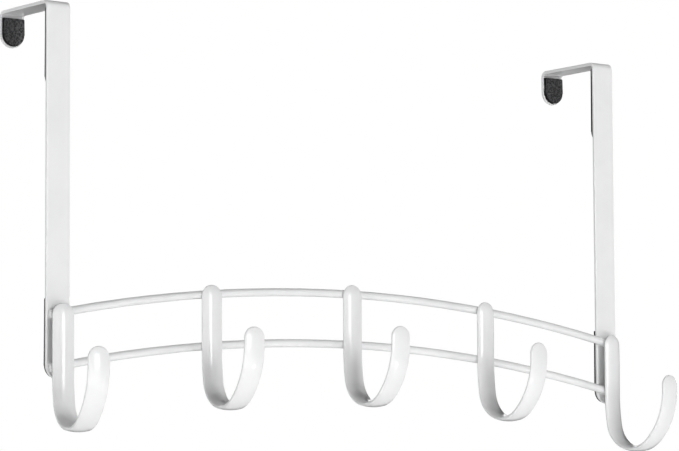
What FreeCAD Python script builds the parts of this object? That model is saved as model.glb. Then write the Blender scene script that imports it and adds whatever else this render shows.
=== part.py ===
# Over door hook rack: two flat hangers that go over a door's top edge, two arched wire rails welded
# across them, five J hooks welded across the rails, and foam pads where the metal faces the door.
#
# Frame: X runs along the rack, -Y points into the room, +Y towards and past the door, +Z is up.
# The origin is midway between the hangers, on the door's top edge, at the back of the uprights.
# Millimetres.
import FreeCAD, Part
import math
import os
import Sketcher

os.makedirs("parts", exist_ok=True)
doc = FreeCAD.newDocument("over_door_hook_rack")

# Driving sizes: name, value, what it is.
SIZES = [
    ("hanger_spacing", 415.0, "between the middles of the two hangers"),
    ("hanger_width", 16.0, "width of the hanger strip"),
    ("hanger_thick", 2.0, "thickness of the hanger strip"),
    ("hanger_edge", 0.7, "rounding of the strip's long edges"),
    ("hanger_bend", 2.0, "inside radius of the bends over the door"),
    ("hanger_drop", 217.0, "door's top edge down to the upright's end"),
    ("lip_drop", 19.5, "door's top edge down to the lip's end"),
    ("door_gap", 48.0, "clear between upright and lip, metal to metal"),
    ("wire_dia", 4.8, "diameter of the rail wire"),
    ("wire_end_round", 1.4, "rounding of the wire's cut ends"),
    ("arch_rise", 21.0, "rise of the rails from a hanger to the middle"),
    ("rail_height", 38.0, "upper rail's middle above an upright's end"),
    ("rail_spacing", 30.5, "between the two rails"),
    ("rail_overhang", 6.6, "how far a rail runs past a hanger's middle"),
    ("weld_depth", 0.4, "how deep a weld presses the wire flat"),
    ("weld_flat", 0.3, "how deep a weld presses the back of a hook flat"),
    ("weld_margin", 0.8, "a hook's flat above and below the wire"),
    ("hook_width", 13.6, "width of the hook strip"),
    ("hook_thick", 4.0, "thickness of the hook strip at its crown"),
    ("hook_edge", 1.2, "radius of the hook strip's long edges"),
    ("hook_rise", 5.3, "hook's top above the upper rail's middle"),
    ("hook_drop", 67.5, "upper rail's middle down to the bottom of the bend"),
    ("hook_bend", 19.5, "bend radius below the shank"),
    ("arm_turn", 40.0, "degrees that the tight bend goes on past the bottom"),
    ("arm_bend", 40.0, "wider bend radius up to the arm's tip"),
    ("arm_straight", 3.0, "straight stretch before the arm's round tip"),
    ("hook_fan", 4.0, "degrees that each hook turns out from its neighbour"),
    ("foam_thick", 2.0, "thickness of the foam pads"),
    ("foam_inset", 0.8, "rim of bare metal beside a pad"),
    ("foam_corner", 0.5, "corner radius at a pad's straight end"),
    ("foam_start", 2.2, "door's top edge down to the lip and upper pads"),
    ("upper_pad_length", 47.5, "length of the pad under the bend"),
    ("lower_pad_length", 45.5, "length of the pad at the upright's end"),
]
SIZE = {name: value for name, value, meaning in SIZES}

# Places that follow from the sizes, as formulas on the sheet's values.
STRIP_BACK = "sizes.hanger_thick / 2"
RAIL_Y = "-(sizes.hanger_thick + sizes.wire_dia / 2 - sizes.weld_depth)"
HOOK_FLAT = "(sizes.hook_thick / 2 - sizes.weld_flat)"
HOOK_Y = f"-(sizes.hanger_thick + sizes.wire_dia - 2 * sizes.weld_depth + {HOOK_FLAT})"
ARCH_RADIUS = "((sizes.hanger_spacing / 2)^2 + sizes.arch_rise^2) / (2 * sizes.arch_rise)"
UPPER_DROP = "(sizes.hanger_drop - sizes.rail_height)"
ARCH_CENTRE_Z = f"(sizes.arch_rise - {UPPER_DROP} - {ARCH_RADIUS})"
HOOKS = 5
MIDDLE_HOOK = 3


def make_sheet():
    sheet = doc.addObject("Spreadsheet::Sheet", "sizes")
    for row, (name, value, meaning) in enumerate(SIZES, start=1):
        sheet.set(f"A{row}", name)
        sheet.set(f"B{row}", str(value))
        sheet.setAlias(f"B{row}", name)
        sheet.set(f"C{row}", meaning)
    doc.recompute()


def new_body(label):
    body = doc.addObject("PartDesign::Body", label)
    body.Label = label
    return body


def bind(item, places):
    for name, formula in places.items():
        item.setExpression(name, formula)


def new_sketch(body, name, role, offset=None):
    """A sketch on one of the body's own origin planes, moved by formulas where offset gives them."""
    sketch = body.newObject("Sketcher::SketchObject", name)
    plane = [item for item in body.Origin.OriginFeatures if item.Role == role][0]
    sketch.AttachmentSupport = (plane, [""])
    sketch.MapMode = "FlatFace"
    bind(sketch, {f"AttachmentOffset.Base.{axis}": formula for axis, formula in (offset or {}).items()})
    return sketch


def measure(sketch, name, formula, *rule):
    """Adds a dimension and ties it to a formula on the sheet's values."""
    index = sketch.addConstraint(Sketcher.Constraint(*rule))
    sketch.renameConstraint(index, name)
    sketch.setExpression(f"Constraints.{name}", formula)


def rules(sketch, *found):
    for rule in found:
        sketch.addConstraint(Sketcher.Constraint(*rule))


def point(x, y):
    return FreeCAD.Vector(x, y, 0)


def line(x0, y0, x1, y1):
    return Part.LineSegment(point(x0, y0), point(x1, y1))


def arc(x, y, radius, start, end):
    """An arc about x, y that runs counter-clockwise between two angles in degrees."""
    circle = Part.Circle(point(x, y), FreeCAD.Vector(0, 0, 1), radius)
    return Part.ArcOfCircle(circle, math.radians(start), math.radians(end))


def flat_section(body, name, offset, half=False):
    """The hanger strip across its length: a flat bar with rounded edges, or its right half."""
    sketch = new_sketch(body, name, "XY_Plane", offset)
    wide = SIZE["hanger_width"] / 2
    deep = SIZE["hanger_thick"] / 2
    edge = SIZE["hanger_edge"]
    left = 0 if half else edge - wide
    sketch.addGeometry([
        line(left, -deep, wide - edge, -deep),
        arc(wide - edge, edge - deep, edge, 270, 360),
        line(wide, edge - deep, wide, deep - edge),
        arc(wide - edge, deep - edge, edge, 0, 90),
        line(wide - edge, deep, left, deep),
    ])
    rules(sketch, ("Horizontal", 0), ("Horizontal", 4), ("Symmetric", 2, 1, 2, 2, -1),
          ("Tangent", 0, 2, 1, 1), ("Tangent", 1, 2, 2, 1), ("Tangent", 2, 2, 3, 1),
          ("Tangent", 3, 2, 4, 1), ("Equal", 1, 3))
    if half:
        sketch.addGeometry(line(0, deep, 0, -deep))
        rules(sketch, ("Coincident", 4, 2, 5, 1), ("Coincident", 5, 2, 0, 1),
              ("PointOnObject", 0, 1, -2), ("PointOnObject", 4, 2, -2))
        measure(sketch, "reach", "sizes.hanger_width / 2", "DistanceX", -1, 1, 2, 1, wide)
    else:
        sketch.addGeometry([
            arc(edge - wide, deep - edge, edge, 90, 180),
            line(-wide, deep - edge, -wide, edge - deep),
            arc(edge - wide, edge - deep, edge, 180, 270),
        ])
        rules(sketch, ("Vertical", 6), ("Tangent", 4, 2, 5, 1), ("Tangent", 5, 2, 6, 1),
              ("Tangent", 6, 2, 7, 1), ("Tangent", 7, 2, 0, 1), ("Equal", 1, 5),
              ("Symmetric", 2, 1, 6, 2, -2))
        measure(sketch, "width", "sizes.hanger_width", "DistanceX", 6, 1, 2, 1, 2 * wide)
    measure(sketch, "thickness", "sizes.hanger_thick", "DistanceY", 0, 2, 4, 1, 2 * deep)
    measure(sketch, "edge", "sizes.hanger_edge", "Radius", 1, edge)
    return sketch


def crowned_section(body, name, offset, half=False):
    """The hook strip across its length: wide crowned faces that run smoothly into round edges."""
    sketch = new_sketch(body, name, "XY_Plane", offset)
    edge = SIZE["hook_edge"]
    deep = SIZE["hook_thick"] / 2
    middle = SIZE["hook_width"] / 2 - edge
    crown = (middle ** 2 + deep ** 2 - edge ** 2) / (2 * (deep - edge))
    lean = math.degrees(math.asin(middle / (crown - edge)))
    start = 90 if half else 90 + lean
    sketch.addGeometry([
        arc(0, deep - crown, crown, 90 - lean, start),
        arc(middle, 0, edge, lean - 90, 90 - lean),
        arc(0, crown - deep, crown, 360 - start, 270 + lean),
    ])
    rules(sketch, ("Tangent", 0, 1, 1, 2), ("Tangent", 1, 1, 2, 2), ("Equal", 0, 2),
          ("PointOnObject", 0, 3, -2), ("PointOnObject", 2, 3, -2), ("PointOnObject", 1, 3, -1))
    if half:
        sketch.addGeometry(line(0, deep, 0, -deep))
        rules(sketch, ("Coincident", 3, 1, 0, 2), ("Coincident", 3, 2, 2, 1),
              ("PointOnObject", 3, 1, -2), ("PointOnObject", 3, 2, -2))
        measure(sketch, "crown", "sizes.hook_thick", "DistanceY", 3, 2, 3, 1, 2 * deep)
    else:
        sketch.addGeometry(arc(-middle, 0, edge, 90 + lean, 270 - lean))
        rules(sketch, ("Tangent", 0, 2, 3, 1), ("Tangent", 3, 2, 2, 1), ("Equal", 1, 3))
        top = sketch.addGeometry(Part.Point(point(0, deep)))
        rules(sketch, ("PointOnObject", top, 1, 0), ("PointOnObject", top, 1, -2))
        measure(sketch, "crown", "sizes.hook_thick / 2", "DistanceY", -1, 1, top, 1, deep)
    measure(sketch, "edge", "sizes.hook_edge", "Radius", 1, edge)
    measure(sketch, "middle", "sizes.hook_width / 2 - sizes.hook_edge", "DistanceX", -1, 1, 1, 3, middle)
    return sketch


def block(sketch, name, wide, low, high):
    """A rectangle centred across the sketch, from low to high up it. Each is (formula, value)."""
    first = sketch.GeometryCount
    left = -wide[1] / 2
    right = wide[1] / 2
    sketch.addGeometry([
        line(left, low[1], right, low[1]),
        line(right, low[1], right, high[1]),
        line(right, high[1], left, high[1]),
        line(left, high[1], left, low[1]),
    ])
    bottom, side, top, other = range(first, first + 4)
    rules(sketch, ("Coincident", bottom, 2, side, 1), ("Coincident", side, 2, top, 1),
          ("Coincident", top, 2, other, 1), ("Coincident", other, 2, bottom, 1),
          ("Horizontal", top), ("Vertical", side), ("Vertical", other),
          ("Symmetric", bottom, 1, bottom, 2, -2))
    measure(sketch, f"{name}_wide", wide[0], "DistanceX", bottom, 1, bottom, 2, wide[1])
    measure(sketch, f"{name}_low", low[0], "DistanceY", -1, 1, bottom, 1, low[1])
    measure(sketch, f"{name}_high", high[0], "DistanceY", -1, 1, top, 1, high[1])


def sweep(body, name, section, path, edges):
    pipe = body.newObject("PartDesign::AdditivePipe", name)
    pipe.Profile = section
    pipe.Spine = (path, [f"Edge{number}" for number in range(1, edges + 1)])
    return pipe


def round_end(body, name, section, upward):
    """Turns the half section about the strip's middle, which rounds off the strip's end."""
    end = body.newObject("PartDesign::Revolution", name)
    end.Profile = section
    end.ReferenceAxis = (section, ["V_Axis"])
    end.Angle = 180
    end.Reversed = upward


def make_hanger(label, side):
    body = new_body(label)
    body.setExpression("Placement.Base.x", f"{side} * sizes.hanger_spacing / 2")
    half = SIZE["hanger_thick"] / 2
    round_off = SIZE["hanger_width"] / 2
    radius = SIZE["hanger_bend"] + half
    foot = round_off - SIZE["hanger_drop"]
    lip_y = SIZE["door_gap"] + half
    lip_z = round_off - SIZE["lip_drop"]

    path = new_sketch(body, f"{label}_path", "YZ_Plane")
    path.addGeometry([
        line(-half, foot, -half, half - radius),
        arc(radius - half, half - radius, radius, 90, 180),
        line(radius - half, half, lip_y - radius, half),
        arc(lip_y - radius, half - radius, radius, 0, 90),
        line(lip_y, half - radius, lip_y, lip_z),
    ])
    rules(path, ("Vertical", 0), ("Horizontal", 2), ("Vertical", 4),
          ("Tangent", 0, 2, 1, 2), ("Tangent", 1, 1, 2, 1), ("Tangent", 2, 2, 3, 2),
          ("Tangent", 3, 1, 4, 1), ("Equal", 1, 3))
    measure(path, "upright", "sizes.hanger_thick / 2", "DistanceX", 0, 1, -1, 1, half)
    measure(path, "foot", "sizes.hanger_drop - sizes.hanger_width / 2", "DistanceY", 0, 1, -1, 1, -foot)
    measure(path, "top", "sizes.hanger_thick / 2", "DistanceY", -1, 1, 2, 1, half)
    measure(path, "lip", "sizes.door_gap + sizes.hanger_thick / 2", "DistanceX", -1, 1, 4, 2, lip_y)
    measure(path, "lip_end", "sizes.lip_drop - sizes.hanger_width / 2", "DistanceY", 4, 2, -1, 1, -lip_z)
    measure(path, "bend", "sizes.hanger_bend + sizes.hanger_thick / 2", "Radius", 1, radius)

    at_foot = {"y": f"-{STRIP_BACK}", "z": "sizes.hanger_width / 2 - sizes.hanger_drop"}
    at_lip = {"y": f"sizes.door_gap + {STRIP_BACK}", "z": "sizes.hanger_width / 2 - sizes.lip_drop"}
    section = flat_section(body, f"{label}_section", at_foot)
    sweep(body, f"{label}_strip", section, path, 5)
    for name, offset in (("foot", at_foot), ("lip", at_lip)):
        half_section = flat_section(body, f"{label}_{name}_half", offset, half=True)
        round_end(body, f"{label}_{name}_end", half_section, upward=False)
    return body


def make_hook(number):
    """A J hook. Its own origin is the middle of its shank, level with the upper rail's middle."""
    label = f"hook_{number}"
    body = new_body(label)
    steps = number - MIDDLE_HOOK
    across = f"({steps} * sizes.hanger_spacing / {HOOKS - 1})"
    bind(body, {
        "Placement.Base.x": across,
        "Placement.Base.y": HOOK_Y,
        "Placement.Base.z": f"{ARCH_CENTRE_Z} + sqrt(({ARCH_RADIUS})^2 - {across}^2)",
    })
    if steps:
        body.Placement.Rotation = FreeCAD.Rotation(FreeCAD.Vector(0, 0, steps), SIZE["hook_fan"])
        body.setExpression("Placement.Rotation.Angle", f"{abs(steps)} * sizes.hook_fan")

    round_off = SIZE["hook_width"] / 2
    top = SIZE["hook_rise"] - round_off
    bend = SIZE["hook_bend"]
    bend_z = bend - SIZE["hook_drop"]
    turn = SIZE["arm_turn"]
    wide = SIZE["arm_bend"]
    wide_y = (wide - bend) * math.sin(math.radians(turn)) - bend
    wide_z = bend_z + (wide - bend) * math.cos(math.radians(turn))
    path = new_sketch(body, f"{label}_path", "YZ_Plane")
    path.addGeometry([
        line(0, top, 0, bend_z),
        arc(-bend, bend_z, bend, 270 - turn, 360),
        arc(wide_y, wide_z, wide, 180, 270 - turn),
        line(wide_y - wide, wide_z, wide_y - wide, wide_z + SIZE["arm_straight"]),
    ])
    rules(path, ("Vertical", 0), ("Vertical", 3), ("PointOnObject", 0, 1, -2),
          ("Tangent", 0, 2, 1, 2), ("Tangent", 1, 1, 2, 2), ("Tangent", 2, 1, 3, 1))
    measure(path, "shank", "sizes.hook_rise + sizes.hook_drop - sizes.hook_width / 2 - sizes.hook_bend",
            "DistanceY", 0, 2, 0, 1, top - bend_z)
    measure(path, "bottom", "sizes.hook_drop - sizes.hook_bend", "DistanceY", 1, 3, -1, 1, -bend_z)
    measure(path, "bend", "sizes.hook_bend", "Radius", 1, bend)
    measure(path, "turn", "90 + sizes.arm_turn", "Angle", 1, math.radians(90 + turn))
    measure(path, "wide", "sizes.arm_bend", "Radius", 2, wide)
    measure(path, "arm", "sizes.arm_straight", "DistanceY", 3, 1, 3, 2, SIZE["arm_straight"])

    past = "(sizes.arm_bend - sizes.hook_bend)"
    at_top = {"z": "sizes.hook_rise - sizes.hook_width / 2"}
    at_tip = {
        "y": f"{past} * sin(sizes.arm_turn * 1 deg) - sizes.hook_bend - sizes.arm_bend",
        "z": f"sizes.hook_bend - sizes.hook_drop + {past} * cos(sizes.arm_turn * 1 deg)"
             " + sizes.arm_straight",
    }
    section = crowned_section(body, f"{label}_section", at_top)
    sweep(body, f"{label}_strip", section, path, 4)
    for name, offset in (("top", at_top), ("tip", at_tip)):
        half_section = crowned_section(body, f"{label}_{name}_half", offset, half=True)
        round_end(body, f"{label}_{name}_end", half_section, upward=True)

    welds = new_sketch(body, f"{label}_welds", "XZ_Plane", {"z": f"-{HOOK_FLAT}"})
    wide = ("sizes.hook_width", SIZE["hook_width"])
    reach = ("(sizes.wire_dia / 2 + sizes.weld_margin)", SIZE["wire_dia"] / 2 + SIZE["weld_margin"])
    drop = SIZE["rail_spacing"]
    block(welds, "upper", wide, (f"-{reach[0]}", -reach[1]), reach)
    block(welds, "lower", wide, (f"-sizes.rail_spacing - {reach[0]}", -drop - reach[1]),
          (f"-sizes.rail_spacing + {reach[0]}", reach[1] - drop))
    flats = body.newObject("PartDesign::Pocket", f"{label}_flats")
    flats.Profile = welds
    flats.setExpression("Length", "sizes.weld_flat")
    return body


def make_seat(piece, wide, flat, behind, level):
    """The space that a welded piece takes out of the rails: all that lies past its flat face.

    wide is the piece's width, flat where its flat face is from front to back, level the height of
    the upper rail, all in the piece's own frame. The hangers lie behind the rails, the hooks not.
    """
    label = f"{piece.Label}_seat"
    body = new_body(label)
    body.setExpression("Placement", f"{piece.Name}.Placement")
    margin = 2 * SIZE["wire_dia"]
    low = (f"{level[0]} - sizes.rail_spacing - 2 * sizes.wire_dia",
           level[1] - SIZE["rail_spacing"] - margin)
    high = (f"{level[0]} + 2 * sizes.wire_dia", level[1] + margin)
    sketch = new_sketch(body, f"{label}_outline", "XZ_Plane", {"z": f"-{flat}"})
    block(sketch, "seat", wide, low, high)
    space = body.newObject("PartDesign::Pad", f"{label}_space")
    space.Profile = sketch
    space.Reversed = behind
    space.setExpression("Length", "sizes.wire_dia")
    return body


def make_seats(hangers, hooks):
    """One compound of what the hangers and the hooks take out of both rails."""
    hanger_wide = ("sizes.hanger_width", SIZE["hanger_width"])
    hook_wide = ("sizes.hook_width", SIZE["hook_width"])
    at_hanger = (f"-{UPPER_DROP}", SIZE["rail_height"] - SIZE["hanger_drop"])
    seats = [make_seat(hanger, hanger_wide, "(-sizes.hanger_thick)", True, at_hanger) for hanger in hangers]
    seats += [make_seat(hook, hook_wide, HOOK_FLAT, False, ("0", 0)) for hook in hooks]
    welded = doc.addObject("Part::Compound", "weld_seats")
    welded.Links = seats
    return welded


def make_wire(label, drop):
    """An arched wire before welding. Its own origin is the middle of the arch's circle."""
    body = new_body(f"{label}_wire")
    bind(body, {"Placement.Base.y": RAIL_Y, "Placement.Base.z": f"{ARCH_CENTRE_Z} - {drop}"})
    section = new_sketch(body, f"{label}_section", "YZ_Plane")
    reach = SIZE["hanger_spacing"] / 2
    arch_radius = (reach ** 2 + SIZE["arch_rise"] ** 2) / (2 * SIZE["arch_rise"])
    section.addGeometry(Part.Circle(point(0, arch_radius), FreeCAD.Vector(0, 0, 1), SIZE["wire_dia"] / 2))
    rules(section, ("PointOnObject", 0, 3, -2))
    measure(section, "height", ARCH_RADIUS, "DistanceY", -1, 1, 0, 3, arch_radius)
    measure(section, "wire", "sizes.wire_dia / 2", "Radius", 0, SIZE["wire_dia"] / 2)
    bar = body.newObject("PartDesign::Revolution", f"{label}_bar")
    bar.Profile = section
    bar.ReferenceAxis = (section, ["H_Axis"])
    bar.Midplane = True
    bar.setExpression(
        "Angle", f"2 * asin((sizes.hanger_spacing / 2 + sizes.rail_overhang) / ({ARCH_RADIUS}))")
    doc.recompute()

    ends = body.newObject("PartDesign::Fillet", f"{label}_ends")
    rims = [f"Edge{number}" for number, edge in enumerate(bar.Shape.Edges, start=1)
            if edge.isClosed() and edge.Curve.TypeId == "Part::GeomCircle"]
    ends.Base = (bar, rims)
    ends.setExpression("Radius", "sizes.wire_end_round")
    return body


def make_rail(label, drop, seats):
    """The wire, pressed flat where the hangers and the hooks are welded to it."""
    rail = doc.addObject("Part::Cut", label)
    rail.Label = label
    rail.Base = make_wire(label, drop)
    rail.Tool = seats
    return rail


def make_pad(label, side, y, top, length):
    """A foam pad that hangs down from its straight top edge to a half-round end."""
    body = new_body(label)
    bind(body, {
        "Placement.Base.x": f"{side} * sizes.hanger_spacing / 2",
        "Placement.Base.y": y,
        "Placement.Base.z": top,
    })
    wide = SIZE["hanger_width"] / 2 - SIZE["foam_inset"]
    corner = SIZE["foam_corner"]
    deep = SIZE["upper_pad_length"] - wide
    sketch = new_sketch(body, f"{label}_outline", "XZ_Plane")
    sketch.addGeometry([
        line(corner - wide, 0, wide - corner, 0),
        arc(wide - corner, -corner, corner, 0, 90),
        line(wide, -corner, wide, -deep),
        arc(0, -deep, wide, 180, 360),
        line(-wide, -deep, -wide, -corner),
        arc(corner - wide, -corner, corner, 90, 180),
    ])
    rules(sketch, ("Horizontal", 0), ("Vertical", 2), ("Vertical", 4),
          ("Tangent", 0, 2, 1, 2), ("Tangent", 1, 1, 2, 1), ("Tangent", 2, 2, 3, 2),
          ("Tangent", 3, 1, 4, 1), ("Tangent", 4, 2, 5, 2), ("Tangent", 5, 1, 0, 1),
          ("Equal", 1, 5), ("PointOnObject", 0, 1, -1), ("PointOnObject", 3, 3, -2))
    measure(sketch, "corner", "sizes.foam_corner", "Radius", 1, corner)
    measure(sketch, "round", "sizes.hanger_width / 2 - sizes.foam_inset", "Radius", 3, wide)
    measure(sketch, "side", f"{length} - (sizes.hanger_width / 2 - sizes.foam_inset)",
            "DistanceY", 3, 3, -1, 1, deep)
    foam = body.newObject("PartDesign::Pad", f"{label}_foam")
    foam.Profile = sketch
    foam.setExpression("Length", "sizes.foam_thick")
    return body


def make_pads(name, side):
    back = "sizes.foam_thick"
    lip = "sizes.door_gap"
    start = "-sizes.foam_start"
    lip_length = "(sizes.lip_drop - sizes.foam_start - sizes.foam_inset)"
    foot = "sizes.foam_inset + sizes.lower_pad_length - sizes.hanger_drop"
    return [
        make_pad(f"{name}_lip_pad", side, lip, start, lip_length),
        make_pad(f"{name}_upper_pad", side, back, start, "sizes.upper_pad_length"),
        make_pad(f"{name}_lower_pad", side, back, foot, "sizes.lower_pad_length"),
    ]


make_sheet()
hangers = [make_hanger("left_hanger", -1), make_hanger("right_hanger", 1)]
hooks = [make_hook(number) for number in range(1, HOOKS + 1)]
seats = make_seats(hangers, hooks)
rails = [make_rail("upper_rail", "0", seats), make_rail("lower_rail", "sizes.rail_spacing", seats)]
pads = make_pads("left", -1) + make_pads("right", 1)
doc.recompute()

for item in doc.Objects:
    if "Invalid" in item.State or "Error" in item.State:
        raise RuntimeError(f"{item.Label} did not build: {item.State}")

pieces = hangers + rails + hooks + pads
for piece in pieces:
    shape = piece.Shape
    if shape.isNull() or not shape.isValid() or len(shape.Solids) != 1:
        raise RuntimeError(f"{piece.Label} is not one valid solid")

for piece in pieces:
    piece.Shape.exportStep(f"parts/{piece.Label}.step")
    box = piece.Shape.BoundBox
    print(f"{piece.Label}: {piece.Shape.Volume:.1f} mm3, {len(piece.Shape.Faces)} faces, "
          f"x {box.XMin:.1f} {box.XMax:.1f}, y {box.YMin:.1f} {box.YMax:.1f}, "
          f"z {box.ZMin:.1f} {box.ZMax:.1f}")
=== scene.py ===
# %% [markdown]
# # A rack of five hooks that hangs over a door
#
# The real rack is welded from white powder coated steel. Two flat hangers go over the top of the
# door, two arched wires join them, and five J hooks are welded to the wires. Small pads of dark
# foam keep the steel off the door. The CAD model already holds every piece at its true size and
# place, so this file dresses it: finishes, the foam, the welds, a camera, a floor and lights.
#
# The first step loads that model. A metre in Blender is a metre on the rack. X runs along the
# rack, Y goes from the room into the door, and Z is up, with zero at the door's top edge.

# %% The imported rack
import math

import bmesh
import bpy
from mathutils import Matrix, Vector


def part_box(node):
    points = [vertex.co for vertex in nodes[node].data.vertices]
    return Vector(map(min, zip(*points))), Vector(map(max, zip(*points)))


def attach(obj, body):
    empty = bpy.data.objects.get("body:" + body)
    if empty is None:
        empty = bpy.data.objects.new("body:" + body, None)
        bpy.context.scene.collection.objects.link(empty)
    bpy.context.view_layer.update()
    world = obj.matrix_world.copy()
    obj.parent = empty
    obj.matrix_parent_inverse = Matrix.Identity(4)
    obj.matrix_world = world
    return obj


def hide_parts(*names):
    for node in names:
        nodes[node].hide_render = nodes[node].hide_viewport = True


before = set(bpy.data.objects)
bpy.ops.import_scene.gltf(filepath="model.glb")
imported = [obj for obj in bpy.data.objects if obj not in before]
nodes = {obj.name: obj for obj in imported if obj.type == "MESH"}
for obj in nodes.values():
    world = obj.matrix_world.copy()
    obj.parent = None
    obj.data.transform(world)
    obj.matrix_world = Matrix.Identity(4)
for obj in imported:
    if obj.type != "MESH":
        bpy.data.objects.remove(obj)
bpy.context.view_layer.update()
print(f"{len(nodes)} pieces:", ", ".join(sorted(nodes)))

# %% [markdown]
# ## The camera
#
# The rack was photographed from its left, from a little below, through a long lens, so its far end
# looks only a little smaller than its near end. A camera could be placed by eye, but here its
# angles come from a fit: the corners of the hangers and the hooks' outlines fix where it stood.
# A long lens on a distant camera keeps the wires' arch as flat as it looks in the picture.

# %% Camera
CAMERA_AZIMUTH = math.radians(-37.16)
CAMERA_ELEVATION = math.radians(-6.27)
CAMERA_ROLL = math.radians(-0.31)
CAMERA_DISTANCE = 2.301
LENS = 201.4
LOOKED_AT = Vector((-0.0046, -0.0010, -0.1161))


def direction_from(azimuth, elevation):
    """The direction from the rack to something that stands around it, zero being straight in front."""
    flat = math.cos(elevation)
    return Vector((math.sin(azimuth) * flat, -math.cos(azimuth) * flat, math.sin(elevation)))


towards_camera = direction_from(CAMERA_AZIMUTH, CAMERA_ELEVATION)
camera = bpy.data.objects.new("camera", bpy.data.cameras.new("camera"))
bpy.context.scene.collection.objects.link(camera)
camera.data.lens = LENS
camera.data.sensor_width = 36
camera.data.clip_end = 50
camera.location = LOOKED_AT + towards_camera * CAMERA_DISTANCE
aim = (-towards_camera).to_track_quat("-Z", "Y").to_matrix()
camera.rotation_euler = (aim @ Matrix.Rotation(CAMERA_ROLL, 3, "Z")).to_euler()
bpy.context.scene.camera = camera
bpy.context.scene.view_settings.view_transform = "Standard"
print("camera at", [round(value, 3) for value in camera.location])

# %% [markdown]
# ## Shader nodes written as sums
#
# A finish is a web of small nodes. Wired by hand they are hard to follow, so a socket gets the
# signs of arithmetic: `0.3 + 0.1 * grain` adds the two Math nodes that it needs. Any other node
# comes from one method, which takes its type, its settings and what goes into its sockets.

# %% Sockets that can be added and multiplied
class Signal:
    """The output of a shader node. Arithmetic on it adds Math nodes."""

    def __init__(self, finish, socket):
        self.finish = finish
        self.socket = socket

    def math(self, operation, *values):
        return self.finish.node("ShaderNodeMath", {"operation": operation}, dict(enumerate(values)))

    def __add__(self, other):
        return self.math("ADD", self, other)

    def __sub__(self, other):
        return self.math("SUBTRACT", self, other)

    def __rsub__(self, other):
        return self.math("SUBTRACT", other, self)

    def __mul__(self, other):
        return self.math("MULTIPLY", self, other)

    __radd__ = __add__
    __rmul__ = __mul__


class Finish:
    """A material, or the world around the rack, whose nodes are written one after the other."""

    def __init__(self, name, kept_in=bpy.data.materials):
        self.made = kept_in.new(name)
        self.made.use_nodes = True
        self.tree = self.made.node_tree
        self.tree.nodes.clear()

    def node(self, kind, settings=None, sockets=None, output=0):
        """Any node: its settings are made first, then each socket gets a value or a link."""
        made = self.tree.nodes.new(kind)
        for name, value in (settings or {}).items():
            if name == "stops":
                self.set_stops(made.color_ramp, value)
            else:
                setattr(made, name, value)
        for name, value in (sockets or {}).items():
            if isinstance(value, Signal):
                self.tree.links.new(value.socket, made.inputs[name])
            else:
                made.inputs[name].default_value = value
        return Signal(self, made.outputs[output]) if made.outputs else None

    def set_stops(self, ramp, stops):
        while len(ramp.elements) < len(stops):
            ramp.elements.new(0.5)
        for element, (position, colour) in zip(ramp.elements, stops):
            element.position = position
            element.color = (*colour, 1)

    def noise(self, scale, detail=2, roughness=0.5):
        """Cloudy noise in the rack's own metres: a scale of 500 makes spots of about 2 mm."""
        place = self.node("ShaderNodeTexCoord", output="Object")
        return self.node("ShaderNodeTexNoise", {},
                         {"Vector": place, "Scale": scale, "Detail": detail, "Roughness": roughness})

    def output(self, shader):
        what = "World" if isinstance(self.made, bpy.types.World) else "Material"
        self.node(f"ShaderNodeOutput{what}", {}, {"Surface": shader})
        return self.made


print("shader sums are ready")

# %% [markdown]
# ## White powder coat
#
# Powder is blown on the steel, sticks by its charge and melts in an oven to a thick glossy skin.
# It never flows quite flat: waves of two or three millimetres stay in it, the orange peel, and
# finer grains ride on them. The skin is a dielectric, so Metallic stays at 0, whatever is under
# it. Noise could be painted into the colour alone, but what the eye reads is the broken edge of
# the reflections, so the waves go to a Bump node and to the roughness.

# %% Powder coat
def powder_coat():
    coat = Finish("white_powder_coat")
    waves = coat.noise(420, detail=3)
    grains = coat.noise(3200, detail=1)
    clouds = coat.noise(38, detail=4, roughness=0.6)
    colour = coat.node("ShaderNodeValToRGB", {"stops": [
        (0.30, (0.835, 0.838, 0.842)),
        (0.55, (0.868, 0.870, 0.872)),
        (0.75, (0.880, 0.880, 0.878)),
    ]}, {"Fac": clouds})
    relief = coat.node("ShaderNodeBump", {}, {
        "Strength": 0.35, "Distance": 0.00004, "Height": waves + 0.12 * grains})
    shader = coat.node("ShaderNodeBsdfPrincipled", {}, {
        "Base Color": colour,
        "Roughness": 0.09 + 0.05 * clouds + 0.05 * grains,
        "IOR": 1.5,
        "Normal": relief,
    })
    return coat.output(shader)


white_coat = powder_coat()
steel_pieces = [name for name in sorted(nodes) if not name.endswith("_pad")]
for name in steel_pieces:
    for place in nodes[name].material_slots:
        place.material = white_coat
print("coated:", ", ".join(steel_pieces))
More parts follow.
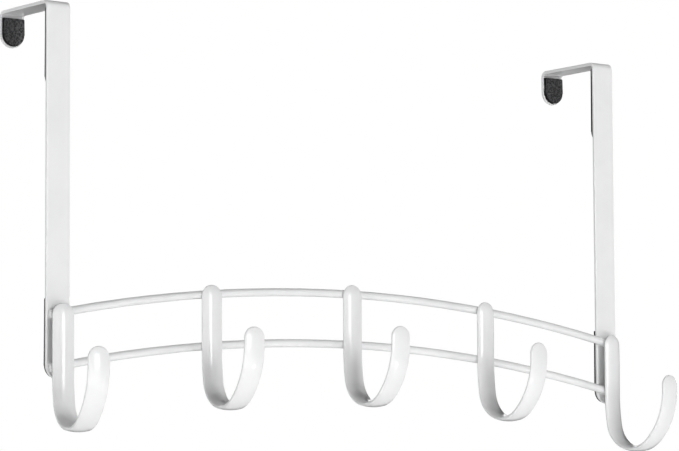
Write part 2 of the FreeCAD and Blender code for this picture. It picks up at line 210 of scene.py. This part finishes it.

# %% [markdown]
# ## Foam
#
# The pads are die cut from a sheet of closed cell foam with glue on its back. Cutting opens the
# outer cells, so the face is a field of tiny pits, dark inside and paler on their rims. Cells
# could be modelled, but at a millimetre each they are below what a mesh should carry, so Voronoi
# cells make both the speckled colour and the bump. The pads face along Y, and where the surface
# turns away from it, on their walls and round rims, painted shade makes the colour darker than the face.

# %% Foam finish
def cut_foam():
    foam = Finish("dark_foam")
    place = foam.node("ShaderNodeTexCoord", output="Object")
    cells = foam.node("ShaderNodeTexVoronoi", {"feature": "F1"}, {"Vector": place, "Scale": 1050})
    patches = foam.noise(480, detail=4, roughness=0.7)
    tone = 0.55 * cells + 0.75 * patches
    # Painted shade: the colour gets darker where the normal turns away from Y, on the pad walls and rims.
    normal = foam.node("ShaderNodeNewGeometry", output="Normal")
    across = foam.node("ShaderNodeSeparateXYZ", {}, {"Vector": normal}, output="Y")
    painted_wall_shade_mask = across * across * across * across
    colour = foam.node("ShaderNodeValToRGB", {"stops": [
        (0.30, (0.004, 0.004, 0.0045)),
        (0.56, (0.034, 0.034, 0.035)),
        (0.78, (0.120, 0.120, 0.123)),
    ]}, {"Fac": tone * (0.35 + 0.65 * painted_wall_shade_mask)})
    relief = foam.node("ShaderNodeBump", {}, {"Strength": 0.8, "Distance": 0.00018, "Height": tone})
    shader = foam.node("ShaderNodeBsdfPrincipled", {}, {
        "Base Color": colour, "Roughness": 0.82 + 0.12 * patches, "IOR": 1.3, "Normal": relief})
    return foam.output(shader)


dark_foam = cut_foam()
print("made", dark_foam.name)

# %% [markdown]
# ## Foam pads
#
# Each hanger has three pads: one in the lip and two down the upright's back, so that no steel
# touches the door. A die cuts them with a straight top and a half round end. The CAD pads are
# plain prisms with knife edges. Real foam is squeezed by the die and springs back round at its
# face, so each pad is made again: half a disc, its cut edge drawn up to the pad's top, thickness
# by extrusion, and a bevel where the face meets the wall. A scaled cube with a bevel would be
# quicker, but it has no half round end, and a boolean would leave slivers at the rim.

# %% Foam pads
FACE_ROUNDING = 0.00045
TOP_CORNER = 0.0005
RIM_LINE = FACE_ROUNDING / 20
TO_ROOM, TO_DOOR = -1, 1
PADS = (("lip", TO_ROOM), ("upper", TO_DOOR), ("lower", TO_DOOR))


def add_piece(shape, name, finish):
    """Turns a bmesh into a piece of the rack that has a finish and moves with it."""
    bmesh.ops.recalc_face_normals(shape, faces=shape.faces)
    mesh = bpy.data.meshes.new(name)
    shape.to_mesh(mesh)
    shape.free()
    mesh.materials.append(finish)
    mesh.shade_smooth()
    piece = bpy.data.objects.new(name, mesh)
    bpy.context.scene.collection.objects.link(piece)
    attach(piece, "root")
    return piece


def half_round_outline(half_width, height):
    """A flat face in the XZ plane: half a disc, and a straight part above it, from z = 0 up."""
    shape = bmesh.new()
    bmesh.ops.create_circle(shape, cap_ends=True, segments=72, radius=half_width)
    bmesh.ops.rotate(shape, verts=shape.verts, matrix=Matrix.Rotation(math.pi / 2, 3, "X"))
    everything = shape.verts[:] + shape.edges[:] + shape.faces[:]
    bmesh.ops.bisect_plane(shape, geom=everything, plane_co=(0, 0, 0), plane_no=(0, 0, 1), clear_outer=True)
    bmesh.ops.translate(shape, verts=shape.verts, vec=(0, 0, half_width))
    cut = max(shape.edges, key=lambda edge: edge.calc_length())
    drawn = bmesh.ops.extrude_edge_only(shape, edges=[cut])["geom"]
    corners = [item for item in drawn if isinstance(item, bmesh.types.BMVert)]
    bmesh.ops.translate(shape, verts=corners, vec=(0, 0, height - half_width))
    bmesh.ops.dissolve_edges(shape, edges=[cut], use_verts=False)
    bmesh.ops.bevel(shape, geom=corners, offset=TOP_CORNER, offset_type="OFFSET", segments=3,
                    profile=0.5, affect="VERTICES", material=-1)
    return shape


def foam_pad(node, outward):
    """A pad with the CAD pad's outline, glued at its back. outward is TO_ROOM or TO_DOOR."""
    low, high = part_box(node)
    depth = high.y - low.y
    glued = high.y if outward == TO_ROOM else low.y
    shape = half_round_outline((high.x - low.x) / 2, high.z - low.z)
    bmesh.ops.translate(shape, verts=shape.verts, vec=((low.x + high.x) / 2, glued, low.z))
    grown = bmesh.ops.extrude_face_region(shape, geom=shape.faces[:])["geom"]
    face_verts = [item for item in grown if isinstance(item, bmesh.types.BMVert)]
    bmesh.ops.translate(shape, verts=face_verts, vec=(0, outward * depth, 0))
    face = next(item for item in grown if isinstance(item, bmesh.types.BMFace))
    bmesh.ops.bevel(shape, geom=face.edges[:], offset=FACE_ROUNDING, offset_type="OFFSET",
                    segments=4, profile=0.5, affect="EDGES", material=-1)
    outer = [each for each in shape.faces if outward * (each.calc_center_median().y - glued) > depth / 2]
    face = max(outer, key=lambda each: each.calc_area())
    bmesh.ops.inset_region(shape, faces=[face], thickness=RIM_LINE, use_even_offset=True)
    pad = add_piece(shape, node + "_foam", dark_foam)
    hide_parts(node)
    return pad


for side in ("left", "right"):
    made = [foam_pad(f"{side}_{place}_pad", outward) for place, outward in PADS]
    print(side, "pads:", [len(pad.data.polygons) for pad in made], "faces")

# %% [markdown]
# ## Hooks
#
# A hook is steel strip with round edges, rolled to a full crown in front and a flatter one at the
# back, and then bent round a former. The CAD hook has one tight bend below its shank. The real
# one eases into it: the strip leaves the straight in a wide arc of nine degrees, tightens, and
# opens again up the arm. The gloss gives both away, because the white stripe stands where the
# crown turns to the light and ends where the wide arc starts. A curve with a bevel object could
# sweep the strip, but spin works as the former does, one centre after another.
#
# The section comes first. A single vertex can be spun too, and then it draws arcs as compasses
# do: half the front crown, a round edge, half the back, and a mirror makes the other half.

# %% Hook section
ACROSS = Vector((1, 0, 0))
UPWARDS = Vector((0, 0, 1))
TOUCHING = 1e-6
HOOK_WIDTH = 0.0136
HOOK_THICKNESS = 0.004
HOOK_EDGE = 0.0009
EDGE_PLACE = HOOK_WIDTH / 2 - HOOK_EDGE
BACK_HEIGHT = 0.0016
FRONT_HEIGHT = HOOK_THICKNESS - BACK_HEIGHT
EDGE_LEVEL = HOOK_THICKNESS / 2 - BACK_HEIGHT


def crown(height):
    """Radius and half angle of the arc that rises so high between the two round edges."""
    radius = (EDGE_PLACE ** 2 + height ** 2 - HOOK_EDGE ** 2) / (2 * (height - HOOK_EDGE))
    return radius, math.asin(EDGE_PLACE / (radius - HOOK_EDGE))


FRONT_RADIUS, FRONT_LEAN = crown(FRONT_HEIGHT)
BACK_RADIUS, BACK_LEAN = crown(BACK_HEIGHT)


def swing(shape, what, centre, axis, angle, steps, drift=(0, 0, 0)):
    """Turns a vertex or an outline about a centre, or drifts it, and returns where it arrives."""
    return bmesh.ops.spin(shape, geom=what, cent=centre, axis=axis, angle=angle, steps=steps,
                          dvec=drift, use_merge=False, use_duplicate=False)["geom_last"]


def strip_outline(shape, height):
    """The strip's section at a height: front crown, round edge, flatter back, and their mirror image."""
    pen = bmesh.ops.create_vert(shape, co=(0, -HOOK_THICKNESS / 2, height))["vert"]
    pen = swing(shape, pen, (0, FRONT_RADIUS - HOOK_THICKNESS / 2, height), UPWARDS, FRONT_LEAN, 16)
    pen = swing(shape, pen, (EDGE_PLACE, EDGE_LEVEL, height), UPWARDS, math.pi - FRONT_LEAN - BACK_LEAN, 14)
    swing(shape, pen, (0, HOOK_THICKNESS / 2 - BACK_RADIUS, height), UPWARDS, BACK_LEAN, 8)
    half = shape.verts[:] + shape.edges[:]
    bmesh.ops.mirror(shape, geom=half, matrix=Matrix(), merge_dist=TOUCHING, axis="X")
    return shape.verts[:] + shape.edges[:]


print(f"crown radius {FRONT_RADIUS * 1000:.1f} mm in front, {BACK_RADIUS * 1000:.0f} mm at the back")

# %% [markdown]
# ## Bending the strip
#
# A smith bends the strip round three formers, a wide one, a tight one and a middling one, and
# leaves a short straight at the tip. Each spin of the outline is one former: its centre stands
# square to the strip at the place that the last bend reached. A spin by no angle that drifts
# instead draws a straight. The ends of the real strip are ground round, and swinging one half
# of the outline over to the other half closes them the same way, with no flat cap to round off.

# %% Bending a hook
SHANK_TOP = -0.0015
SHANK_END = -0.03443
BENDS = ((0.110, 9), (0.0188, 121), (0.040, 50))
DEGREES_A_STEP = 2.5
ARM_STRAIGHT = 0.003
END_STEPS = 28


def round_end(shape, outline):
    """Closes the strip: the right half of its outline swings over the top to the left half."""
    half = [edge for edge in outline if isinstance(edge, bmesh.types.BMEdge)
            and all(vert.co.x > -TOUCHING for vert in edge.verts)]
    corners = list({vert for edge in half for vert in edge.verts})
    swing(shape, half + corners, (0, 0, corners[0].co.z), (0, 1, 0), -math.pi, END_STEPS)


def bent_hook():
    """A J of crowned strip. The middle of its shank is at x = y = 0, the upper rail at z = 0."""
    shape = bmesh.new()
    outline = strip_outline(shape, SHANK_TOP)
    round_end(shape, outline)
    outline = swing(shape, outline, (0, 0, 0), ACROSS, 0, 1, (0, 0, SHANK_END - SHANK_TOP))
    place = Vector((0, 0, SHANK_END))
    turned = 0
    for radius, degrees in BENDS:
        centre = place - radius * Vector((0, math.cos(turned), -math.sin(turned)))
        steps = round(degrees / DEGREES_A_STEP)
        outline = swing(shape, outline, centre, ACROSS, -math.radians(degrees), steps)
        turned += math.radians(degrees)
        place = centre + radius * Vector((0, math.cos(turned), -math.sin(turned)))
    outline = swing(shape, outline, (0, 0, 0), ACROSS, 0, 1, (0, 0, ARM_STRAIGHT))
    round_end(shape, outline)
    bmesh.ops.remove_doubles(shape, verts=shape.verts, dist=TOUCHING)
    return shape


print("a hook turns", sum(degrees for radius, degrees in BENDS), "degrees from its shank to its tip")

# %% [markdown]
# ## Five hooks on the rails
#
# The outer hooks stand in front of the hangers and the others share out the space between. They
# fan out: each is turned four degrees further than its neighbour, so coats hang apart. A linked
# copy with its own turn would be the usual way, but finished pieces stay unturned at the origin
# here, so each hook gets its own mesh with turn and place in it. Its height comes from the CAD
# hook that it replaces.

# %% Five hooks on the rails
HANGER_SPACING = 0.415
HOOK_STEP = HANGER_SPACING / 4
HOOK_FAN = math.radians(4)
HOOK_MIDDLE_Y = -0.0077
HOOK_RISE = 0.0053
MIDDLE_HOOK = 3

for number in range(1, 6):
    steps = number - MIDDLE_HOOK
    node = f"hook_{number}"
    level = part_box(node)[1].z - HOOK_RISE
    shape = bent_hook()
    bmesh.ops.rotate(shape, verts=shape.verts, matrix=Matrix.Rotation(steps * HOOK_FAN, 3, "Z"))
    bmesh.ops.translate(shape, verts=shape.verts, vec=(steps * HOOK_STEP, HOOK_MIDDLE_Y, level))
    hook = add_piece(shape, f"{node}_strip", white_coat)
    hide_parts(node)

# %% [markdown]
# ## Weld beads
#
# Where two pieces cross, current melts them together and the wire sinks into a flat. A little
# steel is squeezed out beside it, and the powder flows into the corner and rounds it off. The
# CAD model has the sharp corner, so a small bead goes above and below every flat. It could be a
# swept fillet, but at this size a capsule does: a sphere with an odd number of rings, whose two
# halves are drawn apart along the wire.

# %% Weld beads
WIRE_RADIUS = 0.0024
BEAD_RADIUS = 0.0007
BEAD_ABOVE = 0.0019
BEAD_INWARD = 0.0005
HANGER_BEAD = 0.013
HOOK_BEAD = 0.0085
ARCH_RISE = 0.021
ARCH_RADIUS = ((HANGER_SPACING / 2) ** 2 + ARCH_RISE ** 2) / (2 * ARCH_RISE)
HANGER_FACE = -0.002
HOOK_FACE = -0.006


def weld_bead(shape, middle, length, turned):
    """A capsule that lies along the wire. turned is the matrix that lays its axis from X that way."""
    verts = bmesh.ops.create_uvsphere(shape, u_segments=12, v_segments=9, radius=BEAD_RADIUS)["verts"]
    bmesh.ops.rotate(shape, verts=verts, matrix=Matrix.Rotation(math.pi / 2, 3, "Y"))
    for side in (-1, 1):
        half = [vert for vert in verts if vert.co.x * side > 0]
        bmesh.ops.translate(shape, verts=half, vec=(side * (length / 2 - BEAD_RADIUS), 0, 0))
    bmesh.ops.rotate(shape, verts=verts, matrix=turned)
    bmesh.ops.translate(shape, verts=verts, vec=middle)


def weld(shape, rail, x, face, length, yaw):
    """Two beads where a piece with its flat face at y = face crosses a rail."""
    slope = math.asin(x / ARCH_RADIUS)
    arch_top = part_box(rail)[1].z - WIRE_RADIUS
    centre = Vector((x, 0, arch_top - ARCH_RADIUS * (1 - math.cos(slope))))
    turned = Matrix.Rotation(yaw, 3, "Z") @ Matrix.Rotation(slope, 3, "Y")
    inward = 1 if face == HOOK_FACE else -1
    for side in (-1, 1):
        beside = turned @ Vector((0, 0, side * BEAD_ABOVE))
        corner = Vector((0, face + inward * BEAD_INWARD, 0))
        weld_bead(shape, centre + beside + corner, length, turned)


beads = bmesh.new()
for rail in ("upper_rail", "lower_rail"):
    for x in (-HANGER_SPACING / 2, HANGER_SPACING / 2):
        weld(beads, rail, x, HANGER_FACE, HANGER_BEAD, 0)
    for steps in range(-2, 3):
        weld(beads, rail, steps * HOOK_STEP, HOOK_FACE, HOOK_BEAD, steps * HOOK_FAN)
weld_beads = add_piece(beads, "weld_beads", white_coat)
print("weld beads:", len(weld_beads.data.polygons), "faces")

# %% [markdown]
# ## Floor and background
#
# The photograph has no floor: the rack floats on white. A pale floor stands below the camera, out
# of its sight, and takes the rack's shadow in the views from above. The lamps stand round the
# rack and reach the floor unevenly, so where it is looked at it mostly shows its own pale shade
# through a Mix Shader, and the rest is lit and shaded as paper is. The white behind the rack is
# painted on the world in the same way, only where the camera, a reflection or a clear piece
# looks at it, so it puts no light on the rack.

# %% Floor
FLOOR_HEIGHT = -1.5
FLOOR_REACH = 6
OWN_SHADE = 0.85

floor_shape = bmesh.new()
bmesh.ops.create_grid(floor_shape, x_segments=1, y_segments=1, size=FLOOR_REACH)
bmesh.ops.translate(floor_shape, verts=floor_shape.verts, vec=(0, 0, FLOOR_HEIGHT))
floor_mesh = bpy.data.meshes.new("studio_floor")
floor_shape.to_mesh(floor_mesh)
floor_shape.free()
floor = bpy.data.objects.new("studio_floor", floor_mesh)
bpy.context.scene.collection.objects.link(floor)


def seen_directly(finish):
    """1 for what the camera, a reflection or a clear piece sees, 0 for light that falls on things."""
    rays = [finish.node("ShaderNodeLightPath", output=kind)
            for kind in ("Is Camera Ray", "Is Glossy Ray", "Is Transmission Ray")]
    return rays[0].math("MAXIMUM", rays[0], rays[1].math("MAXIMUM", rays[1], rays[2]))


paper = Finish("paper_floor")
fibres = paper.noise(60, detail=5)
shade = paper.node("ShaderNodeValToRGB", {"stops": [(0.3, (0.83, 0.83, 0.83)), (0.7, (0.86, 0.86, 0.86))]},
                   {"Fac": fibres})
matt = paper.node("ShaderNodeBsdfPrincipled", {}, {"Base Color": shade, "Roughness": 0.8 + 0.1 * fibres})
pale = paper.node("ShaderNodeEmission", {}, {"Color": shade, "Strength": 1})
lit_and_pale = paper.node("ShaderNodeMixShader", {}, {0: OWN_SHADE * seen_directly(paper), 1: matt, 2: pale})
floor_mesh.materials.append(paper.output(lit_and_pale))
print("floor at", FLOOR_HEIGHT, "m")

# %% White background
WORLD_LIGHT = 0.08
WHITE = (1, 1, 1, 1)

studio = Finish("studio", bpy.data.worlds)
faint = studio.node("ShaderNodeBackground", {}, {"Color": WHITE, "Strength": WORLD_LIGHT})
white = studio.node("ShaderNodeBackground", {}, {"Color": WHITE, "Strength": 1})
either = studio.node("ShaderNodeMixShader", {}, {0: seen_directly(studio), 1: faint, 2: white})
bpy.context.scene.world = studio.output(either)
print("world light", WORLD_LIGHT)

# %% [markdown]
# ## Lights
#
# White steel on white paper is drawn by its shading alone, so each light has one task. A small
# front box is bright on the arms, and each arm throws its soft shadow into the bend behind it.
# A side box far to the left reaches into that shadow from one side only, so the bends go from
# light to dark across the strip. Broad low boxes fill the faces that look down and to the left.
# A tall box in front, far off, draws the white stripe down the crowns, and it ends where a hook
# starts to bend. The small front box is kept out of reflections, or it would draw a second
# stripe beside that one. A small spot puts a round glint on each arm, and a wide box from behind
# and above keeps the rack's back and its top plates readable. One large lamp would be simpler,
# and it would leave the rack flat.

# %% Softboxes
RACK_MIDDLE = Vector((0, -0.02, -0.12))


def softbox(name, azimuth, elevation, distance, width, height, power):
    """A lamp that faces the rack. Angles in degrees, sizes in metres, power in watts."""
    lamp = bpy.data.lights.new(name, "AREA")
    lamp.shape = "RECTANGLE"
    lamp.size = width
    lamp.size_y = height
    lamp.energy = power
    box = bpy.data.objects.new(name, lamp)
    bpy.context.scene.collection.objects.link(box)
    towards = direction_from(math.radians(azimuth), math.radians(elevation))
    box.location = RACK_MIDDLE + towards * distance
    box.rotation_euler = towards.to_track_quat("Z", "Y").to_euler()
    box.visible_camera = False
    return box


softbox("stripe_box", azimuth=8, elevation=4, distance=6, width=1.35, height=1.7, power=54)
front_box = softbox("front_box", azimuth=0, elevation=15, distance=2.4, width=0.7, height=0.7, power=14.5)
softbox("side_box", azimuth=-85, elevation=0, distance=2.4, width=1.2, height=1.5, power=21)
softbox("left_box", azimuth=-22, elevation=-15, distance=2.4, width=1.2, height=1.3, power=6.5)
softbox("low_box", azimuth=3, elevation=-22, distance=2.4, width=1.0, height=1.0, power=5.5)
softbox("under_box", azimuth=20, elevation=-45, distance=1.3, width=1.6, height=1.2, power=3.5)
softbox("spot_box", azimuth=30, elevation=-29, distance=2.4, width=0.2, height=0.2, power=3)
softbox("back_box", azimuth=165, elevation=38, distance=2.4, width=2.4, height=1.8, power=38)
front_box.visible_glossy = False

# %% [markdown]
# ## Black cards
#
# On white paper the outlines of white steel dissolve, because at a grazing angle gloss mirrors
# what is behind it, and that is white too. Product photographers hang black card round the white
# field that the lens sees, and the card draws a thin dark line along every edge. It could be
# four strips, and a ring is simpler: a circle whose edge is extruded and scaled. A round card
# above the rack keeps the bends dark, because their inner faces look straight up. Only
# reflections see the cards, so they cast no shadow and hide nothing from any camera.

# %% Black cards
RING_DISTANCE = 2.0
RING_WINDOW = 0.45
RING_RADIUS = 2.05
ROOF_HEIGHT = 0.7
ROOF_RADIUS = 0.8
ROOF_BACKWARD = 0.35

ring = bmesh.new()
bmesh.ops.create_circle(ring, segments=64, radius=RING_WINDOW)
grown = bmesh.ops.extrude_edge_only(ring, edges=ring.edges[:])["geom"]
outer_rim = [item for item in grown if isinstance(item, bmesh.types.BMVert)]
growth = RING_RADIUS / RING_WINDOW
bmesh.ops.scale(ring, vec=(growth, growth, 1), verts=outer_rim)
facing_camera = towards_camera.to_track_quat("Z", "Y").to_matrix().to_4x4()
behind_rack = Matrix.Translation(LOOKED_AT - towards_camera * RING_DISTANCE)
bmesh.ops.transform(ring, matrix=behind_rack @ facing_camera, verts=ring.verts)

roof = bmesh.new()
bmesh.ops.create_circle(roof, cap_ends=True, segments=64, radius=ROOF_RADIUS,
                        matrix=Matrix.Translation((0, ROOF_BACKWARD, ROOF_HEIGHT)))

felt = Finish("black_felt")
nap = felt.node("ShaderNodeValToRGB", {"stops": [(0.3, (0.002, 0.002, 0.002)), (0.7, (0.006, 0.006, 0.006))]},
                {"Fac": felt.noise(300, detail=3)})
felt.output(felt.node("ShaderNodeBsdfPrincipled", {}, {"Base Color": nap, "Roughness": 1.0, "IOR": 1.0}))


def hang_card(name, shape):
    """A card that only reflections see."""
    mesh = bpy.data.meshes.new(name)
    shape.to_mesh(mesh)
    shape.free()
    mesh.materials.append(felt.made)
    card = bpy.data.objects.new(name, mesh)
    bpy.context.scene.collection.objects.link(card)
    card.visible_camera = card.visible_diffuse = card.visible_shadow = card.visible_transmission = False
    print(name, len(mesh.polygons), "faces")


hang_card("ring_card", ring)
hang_card("roof_card", roof)
